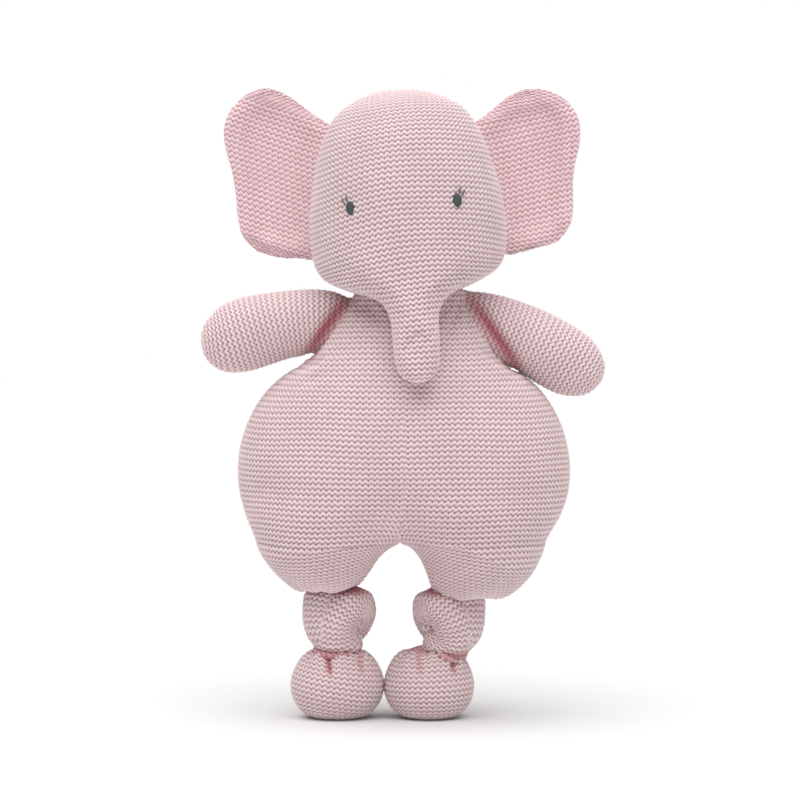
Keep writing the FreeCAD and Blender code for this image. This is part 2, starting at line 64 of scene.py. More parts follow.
FINE_ALONG, FINE_ACROSS = ((0.62, 0.5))


def spline_weights(knots, samples):
    """Catmull-Rom weights: each even step along the knots is a mix of the four knots round it."""
    place = np.linspace(0, knots - 1, samples)
    knot = np.minimum(place.astype(int), knots - 2)
    part = place - knot
    shares = np.stack([
        (-part + 2 * part**2 - part**3) / 2,
        (2 - 5 * part**2 + 3 * part**3) / 2,
        (part + 4 * part**2 - 3 * part**3) / 2,
        (part**3 - part**2) / 2,
    ])
    weights = np.zeros((samples, knots + 2))
    for step in range(4):
        np.add.at(weights, (np.arange(samples), knot + step), shares[step])
    inner = weights[:, 1:-1].copy()
    # past each end the curve carries on straight, so the end knot counts twice and its neighbour once less
    inner[:, 0] += 2 * weights[:, 0]
    inner[:, 1] -= weights[:, 0]
    inner[:, -1] += 2 * weights[:, -1]
    inner[:, -2] -= weights[:, -1]
    return inner


def smooth_rows(rows, samples, spacing=None):
    """A smooth table through a few chosen rows, `spacing` giving a different share of the way for each."""
    rows = np.array(rows, float)
    table = spline_weights(len(rows), samples) @ rows
    if spacing is None:
        return table
    return np.stack([np.interp(spacing, np.linspace(0, 1, samples), column) for column in table.T], -1)


def refine(grid, rows, columns):
    """Carries a coarse grid of points to a fine one along Catmull-Rom curves both ways."""
    tall = np.tensordot(spline_weights(grid.shape[0], rows), grid, axes=(1, 0))
    return np.moveaxis(np.tensordot(spline_weights(grid.shape[1], columns), tall, axes=(1, 1)), 0, 1)


def lengths(grid, axis):
    """Distance run along each grid line from its start."""
    steps = np.linalg.norm(np.diff(grid, axis=axis), axis=-1)
    return np.concatenate([np.zeros_like(np.take(steps, [0], axis)), np.cumsum(steps, axis)], axis)


def sewn_points(grids):
    """Numbers the points of several grids so that points in the same place share a number."""
    points = np.concatenate([grid.reshape(-1, 3) for grid in grids])
    cells = np.round(points / 0.004).astype(np.int64) + 2**20
    keys = (cells[:, 0] << 42) + (cells[:, 1] << 21) + cells[:, 2]
    first, numbers = np.unique(keys, return_index=True, return_inverse=True)[1:]
    starts = np.cumsum([0] + [grid.shape[0] * grid.shape[1] for grid in grids])
    ids = [numbers[a:b].reshape(grid.shape[:2]) for a, b, grid in zip(starts, starts[1:], grids)]
    return points[first], ids, numbers


def quads(ids, outward):
    """The four corners of each cell of a grid of numbers, wound so that the face looks outwards."""
    corners = np.stack([ids[:-1, :-1], ids[:-1, 1:], ids[1:, 1:], ids[1:, :-1]], 2)
    corners = corners.reshape(-1, 4, *ids.shape[2:])
    return corners if outward else corners[:, ::-1]


def mesh_of(name, points, faces, stitches=None):
    """A smooth mesh of numpy corners; a corner that repeats its neighbour is dropped, so poles close."""
    keep = faces != np.roll(faces, -1, axis=1)
    real = keep.sum(1) > 2
    keep, faces = keep[real], faces[real]
    counts = keep.sum(1)
    mesh = bpy.data.meshes.new(name)
    mesh.vertices.add(len(points))
    mesh.vertices.foreach_set("co", (points * MM).astype(np.float32).ravel())
    mesh.loops.add(int(counts.sum()))
    mesh.loops.foreach_set("vertex_index", faces[keep].astype(np.int32))
    mesh.polygons.add(len(counts))
    mesh.polygons.foreach_set("loop_start", np.concatenate([[0], np.cumsum(counts)[:-1]]).astype(np.int32))
    mesh.polygons.foreach_set("use_smooth", np.ones(len(counts), bool))
    if stitches is not None:
        layer = mesh.uv_layers.new(name="stitches")
        layer.uv.foreach_set("vector", stitches[real][keep].astype(np.float32).ravel())
    mesh.update(calc_edges=True)
    mesh.validate()
    return mesh


def new_piece(name, mesh, material):
    piece = bpy.data.objects.new(name, mesh)
    bpy.context.scene.collection.objects.link(piece)
    mesh.materials.append(material)
    return piece


def stuffed(grids, outward, pressure, reach, held):
    """Fills a sewn bag with Cloth's pressure; `held` says which points stay, and none moves past `reach`."""
    points, ids, numbers = sewn_points(grids)
    faces = np.concatenate([quads(number, way) for number, way in zip(ids, outward)])
    mesh = mesh_of("bag", points * 10, faces)
    bag = bpy.data.objects.new("bag", mesh)
    bpy.context.scene.collection.objects.link(bag)
    group = bag.vertex_groups.new(name="held")
    group.add([int(number) for number in np.flatnonzero(held(points))], 1.0, "REPLACE")
    cloth = bag.modifiers.new("Cloth", "CLOTH").settings
    cloth.quality = 6
    cloth.mass = 0.3
    cloth.tension_stiffness = 20
    cloth.compression_stiffness = 20
    cloth.shear_stiffness = 8
    cloth.bending_stiffness = 0.6
    cloth.use_pressure = True
    cloth.uniform_pressure_force = pressure
    cloth.vertex_group_mass = "held"
    cloth.effector_weights.gravity = 0
    for step in range(1, 21):
        bpy.context.scene.frame_set(step)
    settled = bag.evaluated_get(bpy.context.evaluated_depsgraph_get()).to_mesh()
    moved = np.zeros(len(points) * 3, np.float32)
    settled.vertices.foreach_get("co", moved)
    bpy.data.objects.remove(bag)
    bpy.context.scene.frame_set(1)
    shift = moved.reshape(-1, 3).astype(float) / MM / 10 - points
    far = np.linalg.norm(shift, axis=1)
    shift *= (np.minimum(far, reach) / np.maximum(far, 1e-9))[:, None]
    filled = (points + shift)[numbers]
    starts = np.cumsum([0] + [grid.shape[0] * grid.shape[1] for grid in grids])
    return [filled[a:b].reshape(grid.shape) for a, b, grid in zip(starts, starts[1:], grids)]


def purl(across, up):
    """Height of the cloth from 0 to 1: a ridge a row, shifted by a sine of the place along the row."""
    phase = up - WAVE * np.sin(2 * np.pi * across)
    ridge = 0.5 + 0.5 * np.cos(2 * np.pi * phase)
    return ridge**0.75 * (1 - 0.12 * np.cos(4 * np.pi * across))


def knitted(name, grids, outward, material, seams, middle=None, shift=None, climb=None, bend=None, folds=None,
            tucks=None):
    """Refines sewn panels, counts stitches over each, raises the purl ridges and makes the piece.

    For each panel, `seams` says whether its first and last column are sewn, and then its first and last
    row, if they matter. `middle` is the column that stitches are counted from, as a share of its width,
    and `shift` the stitch number there. `climb` is a formula for the length of cloth below a point, where
    rows of stitches aren't rows of the grid. `bend` is a formula that adds rows to a point's own, `folds`
    one for the height of lumps in the cloth, and `tucks` one from 0 to 1 for deep creases, which are dug
    into the mesh and kept in it for the material to paint with a dark red shade. Ridges fade out within a
    yarn's width of a seam.
    """
    fine, stitches, heights, creases = [], [], [], []
    tall = max(np.mean(lengths(grid, 0)[-1]) for grid in grids)
    rows = int(tall / FINE_ACROSS)
    for number, grid in enumerate(grids):
        wide = np.max(lengths(grid, 1)[:, -1])
        points = refine(grid, rows, int(wide / FINE_ALONG))
        run = lengths(points, 1)
        column = (0.5 if middle is None else middle[number]) * np.ones(rows) * (points.shape[1] - 1)
        base = np.minimum(column.astype(int), points.shape[1] - 2)
        part = (column - base)[:, None]
        start = np.take_along_axis(run, base[:, None], 1) * (1 - part)
        start += np.take_along_axis(run, base[:, None] + 1, 1) * part
        across = (run - start) / STITCH + (0 if shift is None else shift[number])
        if climb is None or climb[number] is None:
            up = np.mean(lengths(points, 0), axis=1)[:, None] / COURSE
        else:
            up = climb[number](points) / COURSE
        below = lengths(points, 0)
        up = up + (0 if bend is None else bend(points))
        up = up + 0.16 * np.sin(across * 0.31 + number) * np.sin(up * 0.17 + 1.3)
        across = across + 0.22 * np.sin(up * 0.23 + number) + 0.12 * np.sin(up * 0.71 + across * 0.19)
        lift = purl(across, up) - 0.5
        for sewn, distance in zip(seams[number], (run, run[:, -1:] - run, below, below[-1:] - below)):
            if sewn:
                fade = np.clip(distance / 2.2, 0, 1)
                lift = lift * fade**2 * (3 - 2 * fade) - 0.35 * (1 - fade)**2
        fine.append(points)
        stitches.append(np.stack([across, up], -1))
        creases.append(0 * up if tucks is None else tucks(points))
        heights.append(lift * RIDGE + (0 if folds is None else folds(points)) - TUCK * creases[-1])
    points, ids, numbers = sewn_points(fine)
    faces = np.concatenate([quads(number, way) for number, way in zip(ids, outward)])
    corners = np.concatenate([quads(stitch, way) for stitch, way in zip(stitches, outward)])
    mesh = mesh_of(name, points, faces, corners)
    normals = np.zeros(len(points) * 3, np.float32)
    mesh.vertex_normals.foreach_get("vector", normals)
    shares = np.bincount(numbers)
    lift = np.bincount(numbers, np.concatenate([height.ravel() for height in heights])) / shares
    # the crease share is kept on the mesh for the material to paint as a dark red shade
    crease_and_shade = np.bincount(numbers, np.concatenate([crease.ravel() for crease in creases])) / shares
    mesh.attributes.new("crease_and_shade", "FLOAT", "POINT").data.foreach_set("value", crease_and_shade.astype(np.float32))
    raised = points + normals.reshape(-1, 3) * lift[:, None]
    mesh.vertices.foreach_set("co", (raised * MM).astype(np.float32).ravel())
    mesh.update()
    return new_piece(name, mesh, material)


def bump(value, middle, width):
    """A smooth hump of height 1: e to the minus square of the distance over the width."""
    return np.exp(-((value - middle) / width)**2)


def step(value, low, high):
    """0 below low, 1 above high, and a smooth cubic between."""
    part = np.clip((value - low) / (high - low), 0, 1)
    return part**2 * (3 - 2 * part)


def lumps(points, size):
    """Unevenness of wadding under cloth: a product of three sines, up to half a millimetre each way."""
    x, y, z = np.moveaxis(points / size, -1, 0)
    return 0.45 * np.sin(x + 0.6 * z) * np.sin(1.3 * z - 0.5 * y + 1) * np.sin(0.9 * y + 0.4 * x + 2)


def add_node(tree, kind, inputs=(), **settings):
    """Adds a shader node, sets it up, and links or fills its inputs in order."""
    node = tree.nodes.new(kind)
    for key, value in settings.items():
        setattr(node, key, value)
    for socket, value in (inputs.items() if isinstance(inputs, dict) else enumerate(inputs)):
        if isinstance(value, bpy.types.NodeSocket):
            tree.links.new(value, node.inputs[socket])
        elif value is not None:
            node.inputs[socket].default_value = value
    return node


def calc(tree, operation, *values):
    return add_node(tree, "ShaderNodeMath", values, operation=operation).outputs[0]


def knit_group():
    """Shader group: where the holes of the purl side are, from the stitch count in the UV map.

    It repeats the sine and cosine of purl(), so that the holes, painted dark as shade, lie in the hollows of
    the mesh, and adds the twist of the yarn and its loose fibres as a fine height.
    """
    tree = bpy.data.node_groups.new("purl knit", "ShaderNodeTree")
    face = tree.interface
    for name, kind, value in (("Yarn", "NodeSocketColor", (0.8, 0.6, 0.6, 1)),
                              ("Hollow shade", "NodeSocketColor", (0.4, 0.2, 0.2, 1)),
                              ("Hole shade", "NodeSocketFloat", 0.6)):
        face.new_socket(name=name, in_out="INPUT", socket_type=kind).default_value = value
    for name, kind in (("Color", "NodeSocketColor"), ("Roughness", "NodeSocketFloat"),
                       ("Height", "NodeSocketFloat")):
        face.new_socket(name=name, in_out="OUTPUT", socket_type=kind)
    given = add_node(tree, "NodeGroupInput")
    out = add_node(tree, "NodeGroupOutput")
    place = add_node(tree, "ShaderNodeUVMap", uv_map="stitches")
    split = add_node(tree, "ShaderNodeSeparateXYZ", [place.outputs[0]])
    across, up = split.outputs[0], split.outputs[1]
    swing = calc(tree, "SINE", calc(tree, "MULTIPLY", across, 2 * math.pi))
    phase = calc(tree, "MULTIPLY_ADD", swing, -WAVE, up)
    wave = calc(tree, "COSINE", calc(tree, "MULTIPLY", phase, 2 * math.pi))
    ridge = calc(tree, "MULTIPLY_ADD", wave, 0.5, 0.5)
    # painted shade: the hollow between two ridges, deeper at some points of each wave, scaled by the holes
    # input
    gap = calc(tree, "POWER", calc(tree, "SUBTRACT", 1, ridge), 1.6)
    deep = calc(tree, "MULTIPLY_ADD", swing, -0.15, 0.6)
    deep = calc(tree, "MULTIPLY_ADD", calc(tree, "MULTIPLY", swing, swing), 0.33, deep)
    hole_shade_and_depth = calc(tree, "MULTIPLY", calc(tree, "MULTIPLY", gap, deep), given.outputs["Hole shade"])
    # plies twisted round the yarn, which follows the ridge
    ply = calc(tree, "MULTIPLY_ADD", across, 26.0, calc(tree, "MULTIPLY", phase, 9.0))
    ply = calc(tree, "MULTIPLY_ADD", calc(tree, "SINE", ply), 0.5, 0.5)
    body = add_node(tree, "ShaderNodeTexCoord").outputs["Object"]
    fuzz = add_node(tree, "ShaderNodeTexNoise", {"Vector": body, "Scale": 900, "Detail": 3, "Roughness": 0.6})
    cloud = add_node(tree, "ShaderNodeTexNoise", {"Vector": body, "Scale": 55, "Detail": 2})
    yarn_tone = calc(tree, "MULTIPLY_ADD", cloud.outputs[0], 0.16, 0.92)
    yarn_tone = calc(tree, "MULTIPLY_ADD", fuzz.outputs[0], 0.10, calc(tree, "SUBTRACT", yarn_tone, 0.05))
    tinted = add_node(tree, "ShaderNodeMix", data_type="RGBA", blend_type="MULTIPLY")
    tree.links.new(given.outputs["Yarn"], tinted.inputs[6])
    tree.links.new(yarn_tone, tinted.inputs[7])
    tinted.inputs[0].default_value = 1
    # painted shade in the holes: the yarn colour mixed towards the hollow colour
    hole_shaded = add_node(tree, "ShaderNodeMix", data_type="RGBA")
    tree.links.new(hole_shade_and_depth, hole_shaded.inputs[0])
    tree.links.new(tinted.outputs[2], hole_shaded.inputs[6])
    tree.links.new(given.outputs["Hollow shade"], hole_shaded.inputs[7])
    # painted shade: deep creases, as the crease attribute gives them, are mixed towards a dark red, standing in
    # for the shade and the pink light bounced between their walls
    crease = add_node(tree, "ShaderNodeAttribute", attribute_name="crease_and_shade").outputs["Fac"]
    crease_shaded = add_node(tree, "ShaderNodeMix", data_type="RGBA")
    tree.links.new(calc(tree, "MULTIPLY", crease, 0.85), crease_shaded.inputs[0])
    tree.links.new(hole_shaded.outputs[2], crease_shaded.inputs[6])
    # the dark red of the painted crease shade
    crease_shaded.inputs[7].default_value = (0.42, 0.06, 0.09, 1)
    tree.links.new(crease_shaded.outputs[2], out.inputs["Color"])
    tree.links.new(calc(tree, "MULTIPLY_ADD", fuzz.outputs[0], 0.15, 0.78), out.inputs["Roughness"])
    height = calc(tree, "MULTIPLY_ADD", ply, 0.35, calc(tree, "MULTIPLY", fuzz.outputs[0], 0.5))
    height = calc(tree, "SUBTRACT", height, calc(tree, "MULTIPLY", hole_shade_and_depth, 0.8))
    tree.links.new(height, out.inputs["Height"])
    return tree


KNIT = knit_group()


def knit_material(name, yarn, hollow, hole_shade):
    """Matt cotton yarn: the knit group gives roughness, fine height and colour, with painted shade in the holes
    and the deep creases.
    """
    material = bpy.data.materials.new(name)
    material.use_nodes = True
    tree = material.node_tree
    shader = tree.nodes["Principled BSDF"]
    shader.inputs["Sheen Weight"].default_value = 0.25
    shader.inputs["Sheen Roughness"].default_value = 0.6
    shader.inputs["Specular IOR Level"].default_value = 0.2
    knit = add_node(tree, "ShaderNodeGroup", node_tree=KNIT)
    knit.inputs["Yarn"].default_value = (*yarn, 1)
    knit.inputs["Hollow shade"].default_value = (*hollow, 1)
    knit.inputs["Hole shade"].default_value = hole_shade
    fine = add_node(tree, "ShaderNodeBump",
                    {"Height": knit.outputs["Height"], "Strength": 0.7, "Distance": 0.00025})
    tree.links.new(knit.outputs["Color"], shader.inputs["Base Color"])
    tree.links.new(knit.outputs["Roughness"], shader.inputs["Roughness"])
    tree.links.new(fine.outputs[0], shader.inputs["Normal"])
    return material


PINK = (0.85, 0.69, 0.70)
# painted shade: the dark red of the holes between ridges
PINK_HOLLOW_SHADE = (0.30, 0.13, 0.15)
body_knit = knit_material("body knit", PINK, PINK_HOLLOW_SHADE, 0.9)

# ---------------------------------------------------------------- body
# A front and a back panel, sewn together down both sides and round the inside of the legs, and stuffed.
# The bag is pear-shaped and ends below in two thighs, each gathered round the top of its knotted leg.
MIDDLE_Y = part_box("body_front_panel")[1].y / MM - 1
CROTCH = 92.4
CROTCH_X = -1.6
torso_levels = smooth_rows([  # height, middle, half width, half depth
    (92.4, -0.9, 77.2, 41.5),
    (107, 0.4, 84.5, 46),
    (123, 0.8, 88.6, 48.5),
    (140, 0.8, 88, 48),
    (157, 0.8, 82.6, 45),
    (173, 0.9, 72.4, 40),
    (190, 1.2, 55, 34.5),
    (207, 2.5, 41, 29),
    (219, 3.5, 31.5, 24),
    (227, 4.4, 26, 21),
    (235, 4.5, 22, 19),
    (242, 4.5, 15.5, 14),
    (246, 4.5, 0, 0),
], 400, np.linspace(0, 1, 48)**1.5)
thigh_levels = {  # height, inner side, outer side, half depth
    side: smooth_rows(rows, 200, 1 - (1 - np.linspace(0, 1, 22))**1.25) for side, rows in ((-1, [
        (76, -36, -36, 0),
        (71.5, -31, -43, 7),
        (68.6, -27, -50, 13),
        (68.2, -23.6, -56.5, 20),
        (72.4, -20.6, -62.6, 28),
        (79, -17, -69.6, 34),
        (85.4, -12.6, -74.4, 38.2),
        (90.2, -7, -77, 41),
        (92.4, CROTCH_X, -78.1, 41.6),
    ]), (1, [
        (72, 31, 31, 0),
        (67.5, 25, 38, 7),
        (64.6, 20.6, 47, 13),
        (64.4, 17.4, 54.5, 20),
        (69, 14.8, 61.4, 28),
        (76.5, 12.4, 68.6, 34),
        (84.4, 8.8, 73.2, 38.2),
        (90.2, 4, 75.6, 41),
        (92.4, CROTCH_X, 76.3, 41.6),
    ]))
}
LEGS = {-1: (-36, 68), 1: (31, 65)}  # middle and height of the ring that gathers each thigh
BODY_COLUMNS = 13
SADDLE_HEIGHT = 27  # height over the crotch where the two thighs have become one round belly
STRAIGHT_HEIGHT = 30  # height over the crotch where the middle line has moved from it to the belly's own
BACK_FULLNESS = 1.04  # depth of the back panel over that of the front
THIGH_HALF = (38, 42)  # half width and half depth of a thigh at its top
THIGH_CLIMB = (0.9, 30)  # length of cloth for each millimetre of height, and from the rim to the leg
LENGTH_TO_CROTCH = 60 + CROTCH  # length of cloth from the leg up to the crotch's height


def body_panel(side, back):
    """Half of a body panel, from its middle or inner side to the side seam, over the thigh and the torso.

    Each level is a stretch of an ellipse: from its front to its side on the torso, and from side to side
    on a thigh. Over the crotch the stretch opens along a quarter circle, which makes the saddle there.
    """
    thigh = thigh_levels[side]
    height, middle, half_width, half_depth = torso_levels[1:].T
    open_share = np.clip((height - CROTCH) / SADDLE_HEIGHT, 0, 1)
    front = np.sqrt(1 - (1 - open_share)**2)
    first = np.concatenate([np.full(len(thigh), -np.pi / 2), -np.arccos(front)])[:, None]
    line = CROTCH_X + (middle - CROTCH_X) * np.clip((height - CROTCH) / STRAIGHT_HEIGHT, 0, 1)
    heights = np.concatenate([thigh[:, 0], height])[:, None]
    inner = np.concatenate([thigh[:, 1], line])[:, None]
    outer = np.concatenate([thigh[:, 2], middle + side * half_width])[:, None]
    depth = np.concatenate([thigh[:, 3], half_depth])[:, None] * (BACK_FULLNESS if back else 1)
    angle = first + (np.pi / 2 - first) * np.linspace(0, 1, BODY_COLUMNS)
    width = (outer - inner) / (1 - np.sin(first))
    x = outer - width + width * np.sin(angle)
    y = MIDDLE_Y + (1 if back else -1) * depth * np.cos(angle)
    share = (-first / (np.pi / 2 - first))[:, 0]
    start = ((outer - width)[:, 0] - np.concatenate([np.full(len(thigh), CROTCH_X), line])) * side / STITCH
    return np.stack([x, y, heights + 0 * x], -1), share, start


body_grids, body_middle, body_shift, body_outward = [], [], [], []
for side in (-1, 1):
    for back in (False, True):
        grid, share, start = body_panel(side, back)
        body_grids.append(grid)
        body_middle.append(share)
        body_shift.append(start)
        body_outward.append((side == 1) != back)


def body_held(points):
    """The gathers round the legs and the neck stay where they are sewn."""
    return (points[:, 2] < 70) | (points[:, 2] > 222)


body_grids = stuffed(body_grids, body_outward, pressure=2.5, reach=4, held=body_held)
rows = int(max(np.mean(lengths(grid, 0)[-1]) for grid in body_grids) / FINE_ACROSS)
coarse_rows = np.linspace(0, 1, len(body_middle[0]))
fine_rows = np.linspace(0, 1, rows)
fine_share = [np.interp(fine_rows, coarse_rows, share) for share in body_middle]
fine_start = [np.interp(fine_rows, coarse_rows, start)[:, None] for start in body_shift]


def body_climb(points):
    """Length of cloth below a point, so that rows stay level.

    On the torso it is the height. Under a thigh, where the cloth turns in towards the leg, it is a mix of
    the height and of the distance from the leg's middle line.
    """
    x, y, z = np.moveaxis(points, -1, 0)
    middle = np.where(x < CROTCH_X, LEGS[-1][0], LEGS[1][0])
    inwards = 1 - np.clip(np.hypot((x - middle) / THIGH_HALF[0], (y - MIDDLE_Y) / THIGH_HALF[1]), 0, 1)
    above, under = np.maximum(z - CROTCH, 0), np.minimum(z - CROTCH, 0)
    return LENGTH_TO_CROTCH + above + THIGH_CLIMB[0] * under - THIGH_CLIMB[1] * inwards * (z < CROTCH)


def near_line(points, start, end):
    """Distance, as seen from the front, from a stretch between two points, and the share of it run there."""
    start, end = np.array(start), np.array(end)
    place = points[..., [0, 2]] - start
    share = np.clip(place @ (end - start) / ((end - start) @ (end - start)), 0, 1)
    return np.linalg.norm(place - share[..., None] * (end - start), axis=-1), share


SHOULDER_LINES = (((-27, 223), (-50.5, 188)), ((33.5, 223), (61, 181)))  # x and height of both ends


def shoulder_tuck(points):
    """The deep crease that the sewing of each arm draws into the side of the body, fading at its ends."""
    crease_and_shade = 0
    for line in SHOULDER_LINES:
        away, share = near_line(points, *line)
        crease_and_shade = crease_and_shade + bump(away, 0, 3.4) * np.sqrt(np.clip(4 * share * (1 - share), 0, 1))
    return crease_and_shade


def body_folds(points):
    """Gathers fanning out from the tops of the legs, a tuck over the crotch, and the wadding's lumps."""
    x, y, z = np.moveaxis(points, -1, 0)
    height = lumps(points, 17) + 0.9 * bump(x, CROTCH_X, 5) * bump(z, CROTCH + 10.6, 9) * (y < MIDDLE_Y)
    for middle, low in LEGS.values():
        angle = np.arctan2(y - MIDDLE_Y, x - middle)
        away = np.hypot(x - middle, y - MIDDLE_Y)
        gather = np.cos(9 * angle + 2 * np.sin(3 * angle)) + 0.5 * np.cos(5 * angle + 1)
        near = step(away, 3, 9) * (1 - step(away, 14, 34)) * (1 - step(z, low + 8, low + 26))
        height = height + 0.5 * gather * near
    return height


def body_tucks(points):
    """The shoulder creases, and the cloth drawn in round the tops of the legs."""
    x, y, z = np.moveaxis(points, -1, 0)
    crease_and_shade = 0.9 * shoulder_tuck(points)
    for middle, _ in LEGS.values():
        away = np.hypot(x - middle, y - MIDDLE_Y)
        crease_and_shade = crease_and_shade + (1 - step(away, 11, 20)) * (z < 85)
    return np.clip(crease_and_shade, 0, 1)


body = knitted("body_cover", body_grids, body_outward, body_knit, [(False, True)] * 4, fine_share, fine_start,
               climb=[body_climb] * 4, folds=body_folds, tucks=body_tucks)
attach(body, "root")
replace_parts(body, "body_front_panel", "body_back_panel", "body_stuffing")

# ---------------------------------------------------------------- head and trunk
# The face panel runs on without a seam into the front of the trunk; the back panel covers the back of
# the head, turns forward under the chin and makes the back of the trunk. The head leans a little to its
# right on the neck.
NECK = np.array([4.5, MIDDLE_Y, 232.0])
LEAN = math.radians(-4.1)
HEAD_COLUMNS = 19
# height over the neck, half width, y of the seam, y of the front, y of the back, and height of the back
head_levels = smooth_rows([
    (-54.6, 0, -50.5, -50.5, -50.5, -54.6),
    (-53.6, 5, -50.3, -55.4, -45.4, -53.6),
    (-50.5, 8.8, -49.6, -58.4, -41.2, -50.5),
    (-44, 11.3, -48.3, -59.6, -37.6, -44),
    (-36, 12.2, -46.4, -58.8, -34.8, -36),
    (-27, 13.1, -44.2, -57.3, -32.2, -27.4),
    (-20, 14.2, -42.5, -55.8, -30.4, -21),
    (-14, 17, -40.3, -54.4, -28.4, -16),
    (-9, 23, -36, -53, -24, -10.5),
    (-4.6, 35, -26, -51.8, -13, -7),
    (-0.4, 44.5, -15, -51, 3, -4.6),
    (4, 48.4, -8.5, -50.5, 24, -1.5),
    (8.5, 50.2, -5, -50, 36, 5),
    (14, 51.1, -3.3, -49.3, 40.4, 13),
    (22, 51.5, -3, -48.3, 41.4, 22),
    (32, 50.9, -3, -47.3, 41.4, 32),
    (42, 49.4, -3, -46.5, 41, 42),
    (53, 46.9, -3, -45, 40, 53),
    (65.5, 43.3, -3, -42, 37, 65.5),
    (75, 39.6, -3, -37.8, 32.4, 75),
    (83.5, 34.3, -3, -31.6, 26.2, 83.5),
    (89, 27.6, -3, -25.2, 19.6, 89),
    (93.3, 18.6, -3, -17.4, 11.6, 93.3),
    (95.8, 9.4, -3, -10, 4.4, 95.8),
    (96.5, 0, -3, -3, -3, 96.5),
], 62)
head_knit = knit_material("head knit", PINK, PINK_HOLLOW_SHADE, 0.9)


def from_head(points):
    """From the head's own axes to the object's: a turn about Y, then a shift to the neck."""
    x, y, z = np.moveaxis(points, -1, 0)
    turned = [math.cos(LEAN) * x + math.sin(LEAN) * z, y, math.cos(LEAN) * z - math.sin(LEAN) * x]
    return np.stack(turned, -1) + NECK


def to_head(points):
    """The way back from the object's axes to the head's."""
    x, y, z = np.moveaxis(points - NECK, -1, 0)
    return np.stack([math.cos(LEAN) * x - math.sin(LEAN) * z, y, math.cos(LEAN) * z + math.sin(LEAN) * x], -1)


def head_panel(back):
    """Each row is half an ellipse from seam to seam: level in front, and tipped under the chin behind."""
    height, half_width, seam, front, rear, rear_height = (column[:, None] for column in head_levels.T)
    angle = np.linspace(-np.pi / 2, np.pi / 2, HEAD_COLUMNS)
    far, far_height = (rear, rear_height) if back else (front, height)
    x = half_width * np.sin(angle)
    y = seam + (far - seam) * np.cos(angle)
    z = height + (far_height - height) * np.cos(angle)
    return from_head(np.stack([x, y, z], -1))


def face_climb(points):
    """Length of cloth along the middle of the face, as a function of height, so that rows stay level."""
    middle = np.stack([0 * head_levels[:, 0], head_levels[:, 3], head_levels[:, 0]], -1)
    run = np.concatenate([[0], np.cumsum(np.linalg.norm(np.diff(middle, axis=0), axis=1))])
    return np.interp(to_head(points)[..., 2], head_levels[:, 0], run)


def head_bend(points):
    """Rows droop by up to 3 at the sides of the head: a square of the distance from its middle."""
    x, y, z = np.moveaxis(to_head(points), -1, 0)
    return 2.8 * (x / 50)**2 * step(z, -12, 10) - 0.6 * x / 50


def head_folds(points):
    """The wadding's lumps, and soft hollows where the trunk leaves the chin."""
    x, y, z = np.moveaxis(to_head(points), -1, 0)
    hollow = bump(np.abs(x), 27 + 0.5 * z, 5) * bump(z, -2, 7) * (y < -20)
    return lumps(points, 15) * step(z, -12, 4) - 1.1 * hollow


def head_held(points):
    """The end of the trunk stays, and so does the underside where it is sewn to the neck."""
    x, y, z = np.moveaxis(to_head(points), -1, 0)
    return (z < -45) | ((np.hypot(x, y) < 22) & (z < 0))


head_grids = [head_panel(False), head_panel(True)]
head_grids = stuffed(head_grids, (True, False), pressure=2.5, reach=1.5, held=head_held)
head = knitted("head_and_trunk_cover", head_grids, (True, False), head_knit, [(True, True)] * 2,
               climb=[face_climb, None], bend=head_bend, folds=head_folds)
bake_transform(head)
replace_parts(head, "head_front_panel", "head_back_panel", "head_stuffing", "trunk_cover", "trunk_stuffing")

# ---------------------------------------------------------------- eyes
# Each eye is an upright oval of satin stitch in grey thread: level threads side by side, drawn tight
# into the face, with two lashes of a single thread up and outwards from its top.
EYE_HALF = (2.5, 3.7)
EYE_THREAD = 0.55  # from one thread of the satin stitch to the next
LASH_RADIUS = 0.36
EYE_REST = 1.3  # how far up the eye looks for a ridge to rest on, if its middle is over a hollow
eye_thread = bpy.data.materials.new("eye thread")
eye_thread.use_nodes = True
eye_shader = eye_thread.node_tree.nodes["Principled BSDF"]
eye_shader.inputs["Base Color"].default_value = (0.052, 0.066, 0.07, 1)
eye_shader.inputs["Roughness"].default_value = 0.5


def tube(path, radius, sides=10):
    """Closed round tube along a path, one radius per point, as a grid whose last column meets its first."""
    along = np.gradient(path, axis=0)
    along /= np.linalg.norm(along, axis=1)[:, None]
    normal = np.cross(along[0], (0.3, 0.9, 0.1))
    normals = []
    for direction in along:
        normal = normal - direction * (normal @ direction)
        normal = normal / np.linalg.norm(normal)
        normals.append(normal)
    normals = np.array(normals)
    angle = np.linspace(0, 2 * np.pi, sides + 1)[None, :, None]
    ring = np.cos(angle) * normals[:, None] + np.sin(angle) * np.cross(along, normals)[:, None]
    return path[:, None] + ring * np.reshape(radius, (-1, 1, 1))


